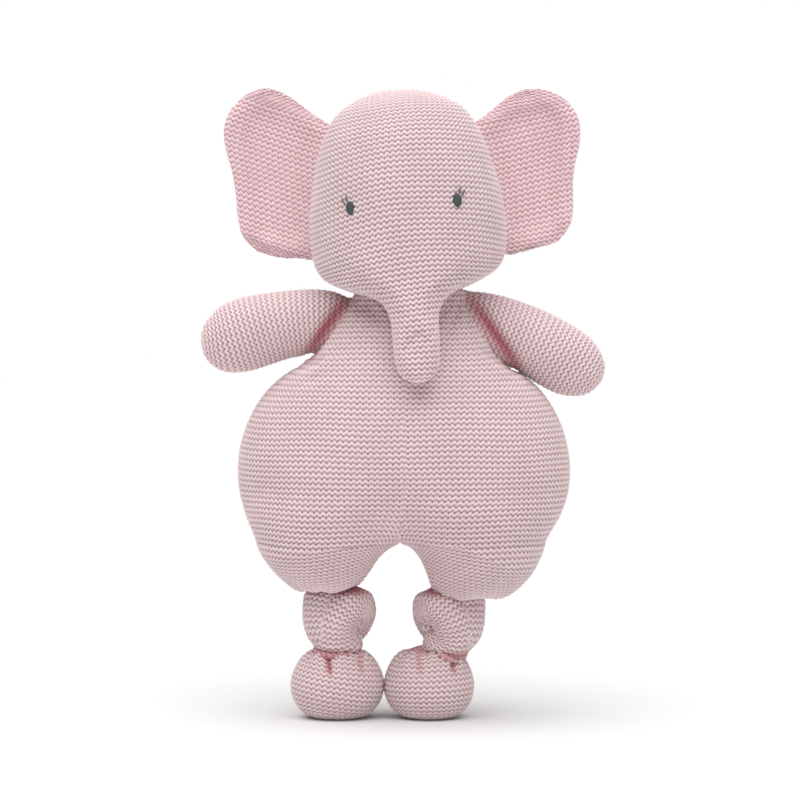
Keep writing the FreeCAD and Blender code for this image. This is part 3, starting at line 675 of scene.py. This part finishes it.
def eye_piece(name, side, middle):
    """A domed oval ribbed by its threads, with two curved lashes, set on the face at a point of it."""
    aim = from_head(np.array([middle[0], -200, middle[1]]))
    centre, above = (np.array(head.ray_cast(Vector((aim + (0, 0, rise)) * MM), Vector((0, 1, 0)))[1]) / MM
                     for rise in (0, EYE_REST))
    centre[1] = min(centre[1], above[1])
    out = to_head(centre) - np.array([0, 8, 25])
    out = from_head(out / np.linalg.norm(out) * (0.75, 1, 0.4)) - NECK
    out /= np.linalg.norm(out)
    right = np.cross((math.sin(LEAN), 0, math.cos(LEAN)), out)
    right /= np.linalg.norm(right)
    upright = np.cross(out, right)
    radius = np.linspace(0, 1, 73)[:, None]
    angle = np.linspace(0, 2 * np.pi, 66)[None]
    u = EYE_HALF[0] * radius * np.cos(angle)
    v = EYE_HALF[1] * radius * np.sin(angle)
    thread = np.abs(np.cos(np.pi * v / EYE_THREAD))
    height = 0.45 + 0.8 * np.sqrt(1 - radius**2) + 0.2 * thread * np.sqrt(1 - radius**4)
    height = height - 1.3 * step(radius, 0.86, 1)
    grids = [centre + u[..., None] * right + v[..., None] * upright + height[..., None] * out]
    for start, end in (((0.9, 3.0), (2.0, 6.6)), ((2.1, 1.9), (4.5, 5.4))):
        share = np.linspace(0, 1, 12)[:, None]
        bow = (0.35, -0.25) * (4 * share * (1 - share))
        path = np.array(start) * (1 - share) + np.array(end) * share + bow
        path = centre + side * path[:, :1] * right + path[:, 1:] * upright + (0.8 - 0.3 * share) * out
        grids.append(tube(path, LASH_RADIUS * np.sqrt(1 - np.abs(2 * share - 1)**6), 8))
    points, ids, _ = sewn_points(grids)
    faces = np.concatenate([quads(number, way) for number, way in zip(ids, (False, True, True))])
    piece = new_piece(name, mesh_of(name, points, faces), eye_thread)
    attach(piece, "head")
    return piece


for name, side, middle in (("left_eye", -1, (-28.5, 36.3)), ("right_eye", 1, (25.9, 36.3))):
    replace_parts(eye_piece(name + "_threads", side, middle), name, name + "_lashes")

# ---------------------------------------------------------------- ears
# Two knitted panels with a thin wadding between, wider above than below, dished in front with a rolled
# rim, and sewn edge-on to the sides of the head. The left one stands a little higher.
# the ears' second colour is the painted shade in the holes between ridges
ear_knit = knit_material("ear knit", (0.92, 0.71, 0.74), (0.48, 0.16, 0.20), 0.8)
EAR_FOOT, EAR_HEAD = np.array([51.9, 7.7]), np.array([38.6, 83.2])
EAR_BACK = 8  # how far behind the neck's axis the ears are sewn on
EAR_THICK = 3.6
ear_outlines = {  # outwards and up from the foot of the seam, from inside the head and round
    -1: ((-5, 72), (2, 78), (11, 82.5), (20, 87.7), (31, 91), (41, 88.5), (48.4, 81), (52.4, 72), (52.6, 63),
         (50, 54), (46.5, 45), (43.6, 33), (41.6, 23), (37.5, 12.5), (29.5, 6.5), (18, 4), (7, 4.5), (-5, 9)),
    1: ((-5, 66), (3, 72.5), (11, 76.5), (19.5, 80), (29, 81.2), (40, 78.3), (47.8, 72), (51.8, 64), (52.6, 56),
        (50.4, 47), (46, 38.5), (42.4, 29), (40, 19), (36.4, 8.5), (30, 2), (22, -0.8), (12, 0), (-5, 6)),
}
EAR_ROWS_RISE = {-1: math.radians(12), 1: math.radians(-2)}


def closed_spline(points, samples):
    """A smooth closed curve through points: Catmull-Rom, with the last point joined to the first."""
    points = np.array(points, float)
    wrapped = np.concatenate([points[-2:], points, points[:3]])
    place = np.linspace(0, len(points), samples, endpoint=False)
    fine = spline_weights(len(wrapped), (len(wrapped) - 1) * 40 + 1) @ wrapped
    knots = np.linspace(0, len(wrapped) - 1, len(fine))
    return np.stack([np.interp(place + 2, knots, axis) for axis in fine.T], -1)


def ear_grids(side):
    """Rows across the outline, spaced as a sine each way so that they close up at the rim."""
    rise = EAR_ROWS_RISE[side]
    turn = np.array([[math.cos(rise), math.sin(rise)], [-math.sin(rise), math.cos(rise)]])
    outline = closed_spline(ear_outlines[side], 720) @ turn.T
    low, high = outline[:, 1].argmin(), outline[:, 1].argmax()
    chain_a = np.take(outline, np.arange(low, high + (720 if high < low else 0) + 1), 0, mode="wrap")
    chain_b = np.take(outline, np.arange(high, low + (720 if low < high else 0) + 1), 0, mode="wrap")[::-1]
    if chain_a[:, 0].mean() > chain_b[:, 0].mean():
        chain_a, chain_b = chain_b, chain_a
    share = np.sin(np.linspace(-np.pi / 2, np.pi / 2, 25))
    level = (outline[low, 1] * (1 - share) + outline[high, 1] * (1 + share)) / 2
    inner, outer = (np.interp(level, chain[:, 1], chain[:, 0])[:, None] for chain in (chain_a, chain_b))
    across = (inner + outer) / 2 + (outer - inner) / 2 * share
    flat = np.stack([across, level[:, None] + 0 * across], -1)
    depth = np.linalg.norm(flat[:, :, None] - outline[::3], axis=-1).min(-1)
    depth[[0, -1]] = 0
    depth[:, [0, -1]] = 0
    half = EAR_THICK * np.sqrt(1 - (1 - np.clip(depth / 8, 0, 1))**2)
    out, up = np.moveaxis(flat @ turn, -1, 0)
    dish = 3.2 * step(depth, 2, 15) - 5.5 * step(out, 26, 60) + 2.2 * np.sin(up / 26 + 0.4) * step(out, 5, 50)
    axis = (EAR_HEAD - EAR_FOOT) / np.linalg.norm(EAR_HEAD - EAR_FOOT)
    x = EAR_FOOT[0] + up * axis[0] + out * axis[1]
    z = EAR_FOOT[1] + up * axis[1] - out * axis[0]
    return [from_head(np.stack([side * x, EAR_BACK + dish + way * half, z], -1)) for way in (-1, 1)]


def ear_folds(points):
    """Lumps, flattened a little by the stitching at the head."""
    return 0.5 * lumps(points, 9)


for side, name in ((-1, "left"), (1, "right")):
    flags = (side == 1, side == -1)
    grids = ear_grids(side)

    def ear_held(points, rim=grids[0][[0, -1]].reshape(-1, 3), edges=grids[0][:, [0, -1]].reshape(-1, 3)):
        """The sewn rim stays where it is."""
        sewn = np.concatenate([rim, edges])
        return np.linalg.norm(points[:, None] - sewn, axis=-1).min(1) < 0.2

    grids = stuffed(grids, flags, pressure=1.5, reach=1.2, held=ear_held)
    ear = knitted(name + "_ear_cover", grids, flags, ear_knit, [(True,) * 4] * 2, folds=ear_folds)
    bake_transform(ear)
    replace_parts(ear, *(name + "_ear_" + part for part in ("front", "back", "wadding", "seam_thread")))

# ---------------------------------------------------------------- arms
# Stuffed mittens without fingers: a front and a back panel sewn along the top, round the end and along
# the bottom, set into the sides of the body under the chin. Their rows of stitches run round the arm.
arm_levels = {  # x, height, half height, half depth
    -1: ((-19, 206, 0, 0), (-20, 206, 12, 8), (-33, 207, 15.5, 10.5), (-45, 207.5, 17, 14),
         (-60, 206.5, 17.4, 16), (-74, 203.5, 18.6, 17), (-84, 200.6, 18.8, 17), (-93, 198, 17, 15.5),
         (-99.6, 196.8, 12.8, 12), (-103.4, 196.2, 7.2, 7), (-104.7, 196, 0, 0)),
    1: ((23, 212, 0, 0), (24, 212, 12, 8), (36, 209, 15, 10.5), (47, 205.4, 16.4, 14),
        (58, 201.2, 17, 16), (70, 196.2, 17.4, 17), (81, 190, 17.6, 17), (89.5, 184.8, 16.6, 15.6),
        (96.4, 180.4, 13.2, 12.4), (101.4, 177.2, 7.8, 7.4), (103.6, 175.8, 0, 0)),
}


def arm_panel(side, back):
    """Half rings square to the arm's middle line, from its lower to its upper seam."""
    levels = smooth_rows(arm_levels[side], 30)
    along = np.gradient(levels[:, :2], axis=0)
    along /= np.linalg.norm(along, axis=1)[:, None]
    normal = np.stack([-along[:, 1], along[:, 0]], -1) * side
    angle = np.linspace(-np.pi / 2, np.pi / 2, 13)
    high = levels[:, 2:3] * np.sin(angle)
    x = levels[:, :1] + normal[:, :1] * high
    z = levels[:, 1:2] + normal[:, 1:] * high
    y = MIDDLE_Y + (1 if back else -1) * levels[:, 3:] * np.cos(angle)
    return np.stack([x, y, z], -1)


for side, name in ((-1, "left"), (1, "right")):
    flags = (side == -1, side == 1)

    def arm_held(points, side=side):
        """The end inside the body stays."""
        return points[:, 0] * side < 44

    grids = [arm_panel(side, False), arm_panel(side, True)]
    grids = stuffed(grids, flags, pressure=2, reach=1.2, held=arm_held)
    arm = knitted(name + "_arm_cover", grids, flags, body_knit, [(True, True)] * 2,
                  folds=lambda points: 0.8 * lumps(points, 11), tucks=shoulder_tuck)
    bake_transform(arm)
    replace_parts(arm, name + "_arm_cover", name + "_arm_stuffing", name + "_shoulder_thread")

# ---------------------------------------------------------------- legs
# Each leg is a slack knitted tube tied in one overhand knot between the thigh and the foot: it comes
# down, passes round behind itself, over and through, and the turns press each other flat.
knot_paths = {  # offsets from the middle of the knot: right, back, up, and the tube's radius
    -1: ((-2, 1, 26, 0), (-2, 1, 25, 13), (-4.5, -1, 15, 12.4), (-7.4, -3.4, 4, 11.4), (-6, -3, -6, 11),
         (0, 4, -8, 10.8), (6.4, 6, -2, 11), (8, 2, 5, 11), (4.6, -5, 7, 11), (-0.6, -8, 0, 10.4),
         (-1.6, -5.6, -8, 10.4), (-0.6, -1, -15, 12.8), (-1, 0, -22, 10.5), (-1, 0, -23, 0)),
    1: ((3.5, 1, 26, 0), (3.5, 1, 25, 13), (5.5, -0.5, 15, 12.4), (7.4, -3, 4, 11.4), (6, -2.6, -6, 11),
        (0, 4, -8, 10.8), (-6, 6, -2, 11), (-7.6, 2, 5, 11), (-4, -5.4, 7.4, 11), (1.4, -8, 1, 10.6),
        (2.6, -5.6, -8, 10.4), (-1, -1, -15, 12.8), (-5, 0, -22, 9.5), (-5, 0, -23, 0)),
}
knot_middles = {-1: np.array([-33.4, 5.0, 53.4]), 1: np.array([24.3, 5.0, 52.6])}

for side, name in ((-1, "left"), (1, "right")):
    path = smooth_rows(knot_paths[side], 64)
    middle = knot_middles[side]
    ring = tube(path[:, :3] + middle, path[:, 3], 24)

    def leg_tucks(points, middle=middle):
        """The tube is drawn in where it leaves the thigh and where it enters the foot."""
        up = points[..., 2] - middle[2]
        return np.maximum(0.9 * step(up, 11, 17), 0.6 - 0.6 * step(up, -19, -15))
    leg = knitted(name + "_leg_cover", [ring[:, :13], ring[:, 12:]], (True, True), body_knit,
                  [(True, False), (False, True)], middle=(1, 0), folds=lambda points: 0.8 * lumps(points, 4),
                  tucks=leg_tucks)
    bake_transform(leg)
    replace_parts(leg, name + "_leg_knot")

# ---------------------------------------------------------------- feet
# Round stuffed bags with flat soles, drawn together at the top under the knot, so that the cloth there
# folds into itself.
foot_levels = smooth_rows([  # height, half width, half depth
    (0.6, 0, 0),
    (0.3, 5, 4.5),
    (0.3, 10, 9),
    (1.6, 15.2, 13.6),
    (5.2, 20, 18),
    (11, 23.4, 21),
    (18, 24.4, 21.8),
    (25, 22.8, 20.4),
    (31, 19.2, 17.2),
    (35.4, 13.6, 12.4),
    (38, 7, 6.4),
    (38.6, 0, 0),
], 34)
feet = {  # middle, size, slope of its rows, and place and depth of its creases
    -1: (-34.2, 1.0, 0.17, ((-39, 1.0), (-22, 0.4))),
    1: (13.9, 0.965, -0.03, ((26, 0.8), (8, 0.4))),
}

for side, name in ((-1, "left"), (1, "right")):
    middle, size, slope, creases = feet[side]
    angle = np.linspace(-np.pi / 2, np.pi / 2, 17)
    height, half_width, half_depth = (column[:, None] for column in foot_levels.T)
    x = middle + size * half_width * np.sin(angle)
    reach = half_depth * np.cos(angle)
    grids = [np.stack([x, MIDDLE_Y + way * reach, height + 0 * x], -1) for way in (-1, 1)]

    def foot_held(points):
        """The sole and the gathered top stay."""
        return (points[:, 2] < 3) | (points[:, 2] > 35)

    def foot_folds(points, middle=middle):
        """Gathers that deepen towards the top, over the lumps of the wadding."""
        x, y, z = np.moveaxis(points, -1, 0)
        angle = np.arctan2(y - MIDDLE_Y, x - middle)
        gather = np.cos(9 * angle + 1.5 * np.sin(2 * angle)) + 0.6 * np.cos(14 * angle + 1)
        return 0.6 * gather * step(z, 24, 36) + 0.5 * lumps(points, 8) * step(z, 3, 9)

    def foot_tucks(points, creases=creases):
        """The drawn-in top, and a sharp crease or two running down from it in front."""
        x, y, z = np.moveaxis(points, -1, 0)
        crease_and_shade = 0.6 * step(z, 34, 37.5)
        for place, depth in creases:
            crease = depth * bump(x, place - 0.16 * (z - 34), 1.5) * step(z, 22, 29) * (y < MIDDLE_Y)
            crease_and_shade = np.maximum(crease_and_shade, crease)
        return crease_and_shade

    def foot_bend(points, middle=middle, slope=slope):
        """A tilt of the rows."""
        return (points[..., 0] - middle) * slope / COURSE

    grids = stuffed(grids, (True, False), pressure=2, reach=1.0, held=foot_held)
    foot = knitted(name + "_foot_bag", grids, (True, False), body_knit, [(True, True)] * 2, bend=foot_bend,
                   folds=foot_folds, tucks=foot_tucks)
    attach(foot, name + "_foot")
    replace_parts(foot, name + "_foot_cover", name + "_foot_stuffing")

# ---------------------------------------------------------------- label
# A blank satin ribbon folded in two and caught in the seat seam by its raw ends.
label_ribbon = bpy.data.materials.new("label ribbon")
label_ribbon.use_nodes = True
label_ribbon.node_tree.nodes["Principled BSDF"].inputs["Base Color"].default_value = (0.82, 0.8, 0.79, 1)
label_ribbon.node_tree.nodes["Principled BSDF"].inputs["Roughness"].default_value = 0.45
LABEL_WIDTH, LABEL_LENGTH, LABEL_THICK = 14, 34, 0.3
label_low, label_high = (np.array(corner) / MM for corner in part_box("care_label"))
run = np.linspace(0, LABEL_LENGTH, 69)[:, None]
fold = 0.9  # radius of the fold at the bottom
leg_length = (LABEL_LENGTH - np.pi * fold) / 2
turn = np.clip((run - leg_length) / fold, 0, np.pi)
down = np.minimum(run, leg_length) + fold * np.sin(turn) - np.maximum(run - leg_length - np.pi * fold, 0)
out = fold * (1 - np.cos(turn)) + 1.2 * np.sin(np.minimum(down / leg_length, 1) * 1.4)
middle_line = np.concatenate([0 * run + (label_low[0] + label_high[0]) / 2, label_low[1] - 0.4 + out,
                              label_high[2] + 0.6 - down], 1)
along = np.gradient(middle_line, axis=0)
normal = np.cross(along, (1, 0, 0))
normal /= np.linalg.norm(normal, axis=1)[:, None]
edge = np.linspace(-1, 1, 15)
wide = np.concatenate([edge, edge[::-1], edge[:1]]) * LABEL_WIDTH / 2
thick = np.concatenate([np.full(15, -1.0), np.full(15, 1.0), [-1.0]]) * LABEL_THICK / 2
ribbon = middle_line[:, None] + wide[:, None] * (1, 0, 0) + thick[:, None] * normal[:, None]
ribbon = np.concatenate([0 * ribbon[:1] + middle_line[0], ribbon, 0 * ribbon[:1] + middle_line[-1]])
points, ids, _ = sewn_points([ribbon])
label = new_piece("folded_label", mesh_of("folded_label", points, quads(ids[0], False)), label_ribbon)
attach(label, "root")
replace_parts(label, "care_label")

# ---------------------------------------------------------------- stage, light and camera
# A matt pale floor under a white sky, with a wide soft light overhead and a weak one in front. The camera
# stands far back and almost level, so that the toy is seen without strong perspective.
floor_corners = np.array([(-4000, -4000, 0), (4000, -4000, 0), (4000, 6000, 0), (-4000, 6000, 0)], float)
floor_mesh = mesh_of("floor", floor_corners, np.array([[0, 1, 2, 3]]))
floor_paint = bpy.data.materials.new("floor")
floor_paint.use_nodes = True
floor_paint.node_tree.nodes["Principled BSDF"].inputs["Base Color"].default_value = (0.8, 0.8, 0.8, 1)
floor_paint.node_tree.nodes["Principled BSDF"].inputs["Roughness"].default_value = 0.9
floor = new_piece("floor", floor_mesh, floor_paint)

world = bpy.data.worlds.new("studio")
bpy.context.scene.world = world
world.use_nodes = True
sky = world.node_tree
sky.nodes["Background"].inputs["Color"].default_value = (1, 1, 1, 1)
sky.nodes["Background"].inputs["Strength"].default_value = 0.3
seen = add_node(sky, "ShaderNodeBackground", {"Color": (1, 1, 1, 1), "Strength": 1.0})
chooser = add_node(sky, "ShaderNodeMixShader")
sky.links.new(add_node(sky, "ShaderNodeLightPath").outputs["Is Camera Ray"], chooser.inputs[0])
sky.links.new(sky.nodes["Background"].outputs[0], chooser.inputs[1])
sky.links.new(seen.outputs[0], chooser.inputs[2])
sky.links.new(chooser.outputs[0], sky.nodes["World Output"].inputs[0])


def sun(name, heading, elevation, spread, strength):
    """A soft sun: degrees round from the front, degrees up, and the angle it fills."""
    light = bpy.data.lights.new(name, "SUN")
    light.angle = math.radians(spread)
    light.energy = strength
    lamp = bpy.data.objects.new(name, light)
    bpy.context.scene.collection.objects.link(lamp)
    lamp.rotation_euler = (math.radians(90 - elevation), 0, math.radians(heading))


sun("overhead", -20, 77, 80, 3.4)
sun("front", 25, 25, 60, 0.25)

camera = bpy.data.objects.new("camera", bpy.data.cameras.new("camera"))
bpy.context.scene.collection.objects.link(camera)
camera.data.lens = 138
camera.data.sensor_width = 36
camera.data.clip_end = 50
tilt = math.radians(2)
CAMERA_AWAY = 1.6
camera.location = (-0.0013, -CAMERA_AWAY * math.cos(tilt), 0.1671 + CAMERA_AWAY * math.sin(tilt))
camera.rotation_euler = (math.pi / 2 - tilt, 0, 0)
bpy.context.scene.camera = camera
bpy.context.scene.view_settings.view_transform = "Standard"
